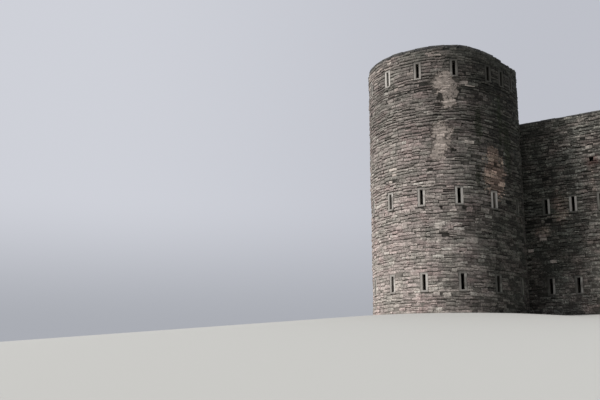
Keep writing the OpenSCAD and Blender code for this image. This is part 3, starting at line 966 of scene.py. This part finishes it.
def layStones(name, rng, laid, finish, layers=3, changes=None, washed=None):
    places, turns, sizes = laid
    mesh = bpy.data.meshes.new(name)
    mesh.vertices.add(len(places))
    mesh.vertices.foreach_set("co", places.astype(np.float32).ravel())
    for label, values in (("stoneTurn", turns), ("stoneSize", sizes)):
        data = mesh.attributes.new(label, "FLOAT_VECTOR", "POINT").data
        data.foreach_set("vector", values.astype(np.float32).ravel())
    tone, tint = rng.random((2, len(places)), dtype=np.float32)
    if washed is not None:
        tint[washed] = washedTint
    for label, values in (("stoneTone", tone), ("stoneTint", tint)):
        mesh.attributes.new(label, "FLOAT", "POINT").data.foreach_set("value", values)
    obj = addObject(name, mesh)
    modifier = obj.modifiers.new("layStones", "NODES")
    modifier.node_group = stoneTree
    given = {**stoneShape, **(changes or {}), "Layers": layers, "Finish": materials[finish]}
    for label, value in given.items():
        modifier[stoneSockets[label].identifier] = value
    makePlain(obj)
    obj.data.name = name
    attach(obj, "root")
    print(name, len(places), "stones,", sum(len(p.vertices) - 2 for p in obj.data.polygons), "triangles")
    return obj


# Rubble of the tower, by storey, left out where the ring stands inside the wing
firstLoop = loopholes["first"] - 4 * loopholes["step"]
rowAzimuths = [firstLoop + k * loopholes["step"] for k in range(9)]
topAzimuths = rowAzimuths + [firstLoop + k * loopholes["step"] for k in (-1, 7.5, 9, 10)]
behindWing = (123.0, 394.5, 483.0)  # azimuths where the face leaves, meets and leaves the wing


def arc(azimuth):
    return radians(azimuth) * radius


def towerStorey(name, seed, low, high, row, azimuths):
    rng = default_rng(seed)
    rows = loopholes["rows"][row:row + 1]
    windows = frameGaps([arc(azimuth + turn) for azimuth in azimuths for turn in (-360, 0, 360)], rows)
    start, hidden, end = (arc(azimuth) for azimuth in behindWing)

    def gapsAt(bottom, top):
        return windows(bottom, top) + ([(hidden, end)] if bottom < wing["roof"] else [])
    levels = courseLevels(rng, rowMarks(low, high, rows), *rubble["course"])
    stones = layCourses(rng, levels, lambda z: start, lambda z: end, gapsAt)
    azimuth, level = azimuthOf(stones), stones[:, 1]
    fallen = inPatches(azimuth, level, palePatches) & (rng.random(len(stones)) < rubble["fallen"])
    stones = stones[~(fallen | inPatches(azimuth, level, hollowPatches))]
    washed = pickWashed(rng, azimuthOf(stones), stones[:, 1], washedPatches)
    layStones(name, rng, onTower(rng, stones), "stone", washed=washed)


towerStorey("towerGroundStones", 11, 0, tower["groundTop"], 0, rowAzimuths)
towerStorey("towerMiddleStones", 12, tower["groundTop"], tower["middleTop"], 1, rowAzimuths)
towerStorey("towerTopStones", 13, tower["middleTop"], tower["head"], 2, topAzimuths)

# Rubble of the wing: the same courses run round it, with long and short quoins at its free corners
quoinShape = {"Side edge": 1.0, "Bed edge": 1.0, "Bulge": 0.0, "Wander": 0.02, "Chip": 0.03}
quoins = {"long": 0.62, "short": 0.36, "joint": 0.018, "courses": 2, "proud": (0.015, 0.03), "tilt": 0.5}
lowRow, midRow, _ = loopholes["rows"]
wingLoops = [loopholes["wingX"] + k * loopholes["bay"] for k in range(loopholes["bays"])]
cornerLoops = [loopholes["cornerY"] + k * loopholes["bay"] for k in range(2)]
wingMarks = sorted(rowMarks(0, wing["head"], (lowRow, midRow)) + [drain["z"], drain["z"] + drain["side"]])
wingLevels = courseLevels(default_rng(20), wingMarks, *wingRubble["course"])
doorStones = {
    "ring": 0.3,
    "count": 11,
    "block": 0.31,
    "joint": 0.014,
    "proud": 0.03,
    "deep": 0.26,
    "uneven": 0.006,
}
doorShape = {"Side edge": 0.97, "Bed edge": 0.97, "Bulge": 0.01, "Wander": 0.012, "Chip": 0.008}
doorSpring = courtDoor["floor"] + courtDoor["height"] - courtDoor["width"] / 2


def edgeOfTower(across):
    return sqrt(radius ** 2 - across ** 2) + overEdge


def quoinReach(level, first):
    # Reach of the corner's stone, long along one face and short along the other; none beside the tower
    if first is None:
        return 0
    course = max(0, np.searchsorted(wingLevels, level + 1e-6) - 1)
    even = course // quoins["courses"] % 2 == 0
    return quoins["long"] if even == first else quoins["short"]


def frontGaps(bottom, top):
    gaps = frameGaps(wingLoops, (lowRow, midRow))(bottom, top)
    if top > drain["z"] + overEdge and bottom < drain["z"] + drain["side"] - overEdge:
        gaps.append((drain["x"] - drain["side"] / 2, drain["x"] + drain["side"] / 2))
    return gaps


def courtGaps(bottom, top):
    gaps = frameGaps([-x for x in wingLoops if abs(x - courtDoor["x"]) > 1], (lowRow,))(bottom, top)
    gaps += frameGaps([-x for x in wingLoops], (midRow,))(bottom, top)
    rise = max(0, bottom - doorSpring)
    reach = courtDoor["width"] / 2 + doorStones["ring"]
    if rise < reach - shortestRun:
        half = sqrt(reach ** 2 - rise ** 2)
        gaps.append((-courtDoor["x"] - half, -courtDoor["x"] + half))
    return gaps


def wingFace(name, seed, origin, facing, run, corners, gapsAt, layers=3, washedAt=()):
    rng = default_rng(seed)
    stones = layCourses(rng, wingLevels, lambda z: run[0] + quoinReach(z, corners[0]),
                        lambda z: run[1] - quoinReach(z, corners[1]), gapsAt, wingRubble)
    washed = pickWashed(rng, stones[:, 0], stones[:, 1], washedAt)
    laid = onWall(rng, stones, origin, facing)
    layStones(name, rng, laid, "wingStone", layers, washed=washed)


def gathered(stones):
    # Arrays of centres, turns and sizes, from one row for each stone
    return [np.array(part) for part in zip(*stones)]


def wingQuoins():
    rng = default_rng(26)
    corners = (
        (wing["right"], wing["front"], -1, 1, True),
        (wing["right"], wing["back"], -1, -1, False),
        (wing["left"], wing["back"], 1, -1, False),
    )
    step, joint = quoins["courses"], quoins["joint"]
    marks = wingLevels[::step] + ([wingLevels[-1]] if len(wingLevels) % step != 1 else [])
    stones = []
    for x, y, inX, inY, first in corners:
        for bottom, top in zip(marks, marks[1:]):
            sideX = quoinReach(bottom, first) - joint
            sideY = quoins["long"] + quoins["short"] - sideX - 2 * joint
            out = rng.uniform(*quoins["proud"])
            stones.append((
                (x + inX * (sideX - out) / 2, y + inY * (sideY - out) / 2, (bottom + top) / 2),
                np.radians(rng.normal(0, quoins["tilt"], 3)),
                (sideX + out, sideY + out, top - bottom - joint),
            ))
    layStones("wingQuoins", rng, gathered(stones), "wingStone", 3, quoinShape)


def courtDoorway():
    # Dressed arch of the courtyard's doorway
    rng = default_rng(27)
    look, stones = doorStones, []
    middle = wing["back"] + look["proud"] - look["deep"] / 2
    reach = courtDoor["width"] / 2 + look["ring"] / 2

    def place(x, z, roll, wide, high):
        out = rng.uniform(-look["uneven"], look["uneven"])
        size = (wide - look["joint"], look["deep"], high - look["joint"])
        stones.append(((courtDoor["x"] + x, middle + out, z), (0, roll, 0), size))
    blocks = round(doorSpring / look["block"])
    for side in (-1, 1):
        for k in range(blocks):
            place(side * reach, (k + 0.5) * doorSpring / blocks, 0, look["ring"], doorSpring / blocks)
    for k in range(look["count"]):
        angle = pi * (k + 0.5) / look["count"]
        wide = 2 * reach * tan(pi / 2 / look["count"])
        x, z = reach * cos(angle), doorSpring + reach * sin(angle)
        place(x, z, pi / 2 - angle, wide, look["ring"])
    layStones("courtDoorwayStones", rng, gathered(stones), "dressed", 3, doorShape)


def terraceStones():
    rng = default_rng(25)
    levels = courseLevels(rng, [wing["roof"], wing["head"]], *rubble["course"])
    runs = (
        (-wing["innerRight"], -edgeOfTower(wing["innerFront"]), (0, wing["innerFront"], 0), 90),
        (wing["innerLeft"], wing["innerRight"], (0, wing["innerBack"], 0), 270),
        (-wing["innerBack"], -wing["innerFront"], (wing["innerRight"], 0, 0), 180),
        (edgeOfTower(wing["innerLeft"]), wing["innerBack"], (wing["innerLeft"], 0, 0), 0),
    )
    laid = []
    for start, end, origin, facing in runs:
        stones = layCourses(rng, levels, lambda z: start, lambda z: end, lambda bottom, top: [])
        laid.append(onWall(rng, stones, origin, facing))
    laid = [np.concatenate(parts) for parts in zip(*laid)]
    layStones("terraceStones", rng, laid, "wingStone", 2)


wingFace("wingFrontStones", 21, (0, wing["front"], 0), 270, (edgeOfTower(wing["front"]), wing["right"]),
         (None, True), frontGaps, washedAt=washedOnWing)
wingFace("wingCornerStones", 22, (wing["left"], 0, 0), 180, (-wing["back"], -edgeOfTower(wing["left"])),
         (True, None), frameGaps([-y for y in cornerLoops], (lowRow, midRow)))
wingFace("wingCourtStones", 23, (0, wing["back"], 0), 90, (-wing["right"], -wing["left"]),
         (False, False), courtGaps, 2)
wingFace("wingEndStones", 24, (wing["right"], 0, 0), 0, (wing["front"], wing["back"]),
         (False, True), lambda bottom, top: [], 2)
wingQuoins()
courtDoorway()
terraceStones()

# Coping slabs: the tower's follow its dipped head as far as they are left, the wing's run round it
copings = {
    "length": (0.5, 0.95),
    "joint": 0.012,
    "depth": 0.6,
    "proud": 0.02,
    "height": (0.15, 0.2),
    "wingHeight": (0.1, 0.13),
    "tilt": (0.012, 0.008),
    "wingTilt": (0.008, 0.006),
    "overhang": (0.4, 1),  # share of twice "proud" by which the wing's slabs pass the wall
    "fromTower": 0.03,
}
slabShape = {"Side edge": 0.97, "Bed edge": 0.93, "Bulge": 0.03, "Wander": 0.035, "Chip": 0.02}


def layCoping(name, rng, laid, replaced):
    slabs = layStones(name, rng, laid, "coping", 3, slabShape)
    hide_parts(replaced)


def towerCoping():
    rng = default_rng(31)
    look = copings
    ends = np.array(cutRun(rng, arc(tower["copingFrom"]), arc(tower["copingTo"]), *look["length"]))
    count = len(ends)
    height = rng.uniform(*look["height"], count)
    azimuth = np.degrees(ends.mean(axis=1) / radius)
    drop = dip["depths"][-1] * dipShare(azimuth)
    reach = radius - look["depth"] / 2 + rng.uniform(0, look["proud"], count)
    angle = np.radians(azimuth)
    places = np.c_[reach * np.cos(angle), reach * np.sin(angle), tower["head"] - drop + height / 2]
    pitch = rng.normal(0, look["tilt"][0], count)
    roll = np.arctan(dipSlope(azimuth, dip["depths"][-1])) + rng.normal(0, look["tilt"][1], count)
    sizes = np.c_[ends[:, 1] - ends[:, 0] - look["joint"], np.full(count, look["depth"]), height]
    turns = np.c_[pitch, roll, angle - pi / 2]
    layCoping("towerCopingSlabs", rng, (places, turns, sizes), "tower_coping")


# What is left of the courses over the part of the wall head that has lost its coping
headStones = {
    "rows": (0.14, 0.42),  # distances of the two rows behind the tower's face
    "length": (0.22, 0.5),
    "height": (0.07, 0.14),
    "step": (0.55, 0.12),  # the stones rise towards the coping over this length, by this much
    "depth": (0.2, 0.28),
    "joint": 0.03,
    "embed": 0.05,
    "tilt": (0.07, 0.06, 0.1),
    "apart": 0.5,  # degrees between them and the coping
}


def brokenHead():
    rng = default_rng(32)
    look, stones = headStones, []
    start, end = arc(tower["copingTo"] + look["apart"]), arc(tower["copingFrom"] + 360 - look["apart"])
    for back in look["rows"]:
        for a, b in cutRun(rng, start, end, *look["length"]):
            high = rng.uniform(*look["height"]) + look["step"][1] * max(0, 1 - (a - start) / look["step"][0])
            azimuth = degrees((a + b) / 2 / radius)
            reach, angle = radius - back, radians(azimuth)
            level = tower["head"] - dip["depths"][-1] * dipShare(azimuth) + high / 2 - look["embed"]
            slope = atan(dipSlope(azimuth, dip["depths"][-1]))
            pitch, roll, turn = (rng.normal(0, spread) for spread in look["tilt"])
            stones.append((
                polar(reach, angle, level),
                (pitch, slope + roll, angle - pi / 2 + turn),
                (b - a - look["joint"], rng.uniform(*look["depth"]), high + look["embed"]),
            ))
    layStones("brokenHeadStones", rng, gathered(stones), "stone")


def wingCoping():
    rng = default_rng(33)
    look, stones = copings, []
    depth = wing["innerFront"] - wing["front"]
    inner = depth / 2
    besideFront, besideLeft = (edgeOfTower(wing[side]) + look["fromTower"] for side in ("front", "left"))
    runs = (
        (besideFront, wing["right"], lambda t: (t, wing["front"] + inner), 270),
        (wing["front"] + depth, wing["back"] - depth, lambda t: (wing["right"] - inner, t), 0),
        (-wing["right"], -wing["left"], lambda t: (-t, wing["back"] - inner), 90),
        (depth - wing["back"], -besideLeft, lambda t: (wing["left"] + inner, -t), 180),
    )
    for start, end, at, facing in runs:
        for a, b in cutRun(rng, start, end, *look["length"]):
            high = rng.uniform(*look["wingHeight"])
            pitch, roll = (rng.normal(0, spread) for spread in look["wingTilt"])
            stones.append((
                (*at((a + b) / 2), wing["head"] + high / 2),
                (pitch, roll, radians(facing) - pi / 2),
                (b - a - look["joint"], depth + 2 * look["proud"] * rng.uniform(*look["overhang"]), high),
            ))
    layCoping("wingCopingSlabs", rng, gathered(stones), "wing_coping")


# Flags on the wing's roof and on the tower's shallow dome
flags = {
    "wide": (0.38, 0.55),
    "length": (0.5, 0.95),
    "joint": 0.014,
    "thick": 0.05,
    "over": 0.02,
    "narrowest": 0.15,  # beside the tower
    "uneven": 0.006,
    "middle": 0.3,  # radius of the dome's bare middle
    "rim": 0.02,  # bare edge of the dome
    "clear": (0.02, 0.05),  # flags this near the tower are cut, this far from it
}
flagShape = {"Side edge": 0.985, "Bed edge": 0.985, "Bulge": 0.0, "Wander": 0.008, "Chip": 0.006}
flagMiddle = flags["over"] - flags["thick"] / 2


def wingFlags():
    rng = default_rng(34)
    look, stones = flags, []
    for low, high in cutRun(rng, wing["innerFront"], wing["innerBack"], *look["wide"]):
        for a, b in cutRun(rng, wing["innerLeft"], wing["innerRight"], *look["length"]):
            x, y = (a + b) / 2, (low + high) / 2
            near = max(0, abs(x) - (b - a) / 2) ** 2 + max(0, y - (high - low) / 2) ** 2
            if near < (radius + look["clear"][0]) ** 2:
                a = sqrt(max(0, (radius + look["clear"][1]) ** 2 - max(0, low) ** 2))
                x = (a + b) / 2
                if b - a < look["narrowest"] or y < 0:
                    continue
            stones.append((
                (x, y, wing["roof"] + flagMiddle),
                (pi / 2 + rng.normal(0, look["uneven"]), 0, 0),
                (b - a - look["joint"], look["thick"], high - low - look["joint"]),
            ))
    layStones("wingRoofFlags", rng, gathered(stones), "paving", 2, flagShape)


def towerFlags():
    rng = default_rng(35)
    look, stones = flags, []
    slope = (tower["roofMiddle"] - tower["roofEdge"]) / tower["roofRadius"]
    for near, far in cutRun(rng, look["middle"], tower["roofRadius"] - look["rim"], *look["wide"]):
        reach = (near + far) / 2
        for a, b in cutRun(rng, 0, 2 * pi * reach, *look["length"]):
            angle = (a + b) / 2 / reach
            stones.append((
                polar(reach, angle, tower["roofMiddle"] - reach * slope + flagMiddle),
                (pi / 2 + atan(slope), 0, angle + pi / 2),
                (b - a - look["joint"], look["thick"], far - near - look["joint"]),
            ))
    layStones("towerRoofFlags", rng, gathered(stones), "paving", 2, flagShape)


towerCoping()
brokenHead()
wingCoping()
wingFlags()
towerFlags()

# Finish of the frame's own pieces
finishes = {
    "coping": ("tower_coping", "wing_coping"),
    "jambs": ("tower_jambs", "wing_jambs"),
    "dressed": ("tower_lintels", "tower_sills", "wing_lintels", "wing_sills", "passage_thresholds"),
    "paving": ("tower_ground_floor", "tower_low_dome", "tower_high_dome", "tower_roof",
               "wing_ground_floor", "wing_first_floor", "wing_roof"),
}
for name, node in nodes.items():
    finish = next((key for key, names in finishes.items() if name in names), "mortar")
    node.data.materials.clear()
    node.data.materials.append(materials[finish])
print("frame finished")

# Floor: level under the building, falling away from its foot like the hill that it stands on
mound = {
    "centre": (6.0, 2.0),
    "level": 0.35,  # level for this far round the building's foot
    "ease": 0.5,
    "fall": 0.08,
    "rings": 220,
    "spokes": 180,
    "reach": 160.0,
    "spread": 1.6,  # the rings lie closer near the middle
    "colour": (0.40, 0.40, 0.385),
}


def fromFoot(x, y):
    beside = max(wing["left"] - x, 0, x - wing["right"])
    before = max(wing["front"] - y, 0, y - wing["back"])
    return min(hypot(x, y) - radius, hypot(beside, before))


def makeMound(look):
    distances = look["reach"] * (np.arange(1, look["rings"] + 1) / look["rings"]) ** look["spread"]
    angles = np.linspace(0, 2 * pi, look["spokes"], endpoint=False)
    verts, faces = [(*look["centre"], 0.0)], []
    for distance in distances:
        for angle in angles:
            x = look["centre"][0] + distance * cos(angle)
            y = look["centre"][1] + distance * sin(angle)
            past = max(0.0, fromFoot(x, y) - look["level"])
            verts.append((x, y, look["fall"] * (look["ease"] - hypot(past, look["ease"]))))
    count = look["spokes"]
    for k in range(count):
        faces.append((0, 1 + k, 1 + (k + 1) % count))
        for ring in range(look["rings"] - 1):
            a, b = 1 + ring * count, 1 + (ring + 1) * count
            faces.append((a + k, b + k, b + (k + 1) % count, a + (k + 1) % count))
    mesh = bpy.data.meshes.new("mound")
    mesh.from_pydata(verts, [], faces)
    mesh.shade_smooth()
    material, shader = newMaterial("paleFloor", 0.9)
    shader.inputs["Base Color"].default_value = (*look["colour"], 1)
    mesh.materials.append(material)
    addObject("mound", mesh)


makeMound(mound)

# Light: an overcast sky, brighter from the left
sky = {
    "left": (0.62, 0.635, 0.69),
    "right": (0.515, 0.53, 0.585),
    "low": (0.40, 0.415, 0.455),
    "across": (0.805, 0.593, 0),  # direction from the left of the view to its right
    "light": (0.92, 0.95, 1.0),
    "strength": (0.1, 0.5),  # at the horizon and overhead
    "rise": (-0.1, 1.0),
    "turn": (-0.3, 0.35),
    "lowFrom": (0.2, 0.02),
}
lamps = (
    {"name": "key", "azimuth": 225, "height": 48, "strength": 3.7, "spread": 20, "colour": (1, 0.97, 0.93)},
    {"name": "fill", "azimuth": 95, "height": 40, "strength": 0.8, "spread": 60, "colour": (0.95, 0.97, 1)},
)


def makeSky(look):
    world = bpy.data.worlds.new("overcast")
    bpy.context.scene.world = world
    world.use_nodes = True
    drawing["tree"] = world.node_tree
    world.node_tree.nodes.clear()
    path = addNode("ShaderNodeLightPath").outputs
    seen = most(path["Is Glossy Ray"], path["Is Transmission Ray"])
    seen = most(path["Is Camera Ray"], seen)
    towards = addNode("ShaderNodeTexCoord").outputs["Generated"]
    up = splitAxes(towards)["Z"]
    bright = ramp(up, *look["rise"], *look["strength"])
    light = made("ShaderNodeBackground", {"Color": (*look["light"], 1), "Strength": bright})
    side = ramp(vector("DOT_PRODUCT", towards, look["across"]), *look["turn"])
    colour = mix(side, look["left"], look["right"])
    colour = mix(ramp(up, *look["lowFrom"]), colour, look["low"])
    shown = made("ShaderNodeBackground", {"Color": colour, "Strength": 1.0})
    mixed = made("ShaderNodeMixShader", {0: seen, 1: light, 2: shown})
    addNode("ShaderNodeOutputWorld", {"Surface": mixed})


def makeLamp(look):
    data = bpy.data.lights.new(look["name"], "SUN")
    data.energy = look["strength"]
    data.angle = radians(look["spread"])
    data.color = look["colour"]
    lamp = addObject(look["name"], data)
    azimuth, height = radians(look["azimuth"]), radians(look["height"])
    source = Vector(polar(cos(height), azimuth, sin(height)))
    lamp.rotation_euler = source.to_track_quat("Z", "Y").to_euler()


makeSky(sky)
for lamp in lamps:
    makeLamp(lamp)
bpy.context.scene.view_settings.view_transform = "Standard"
print("stage made")
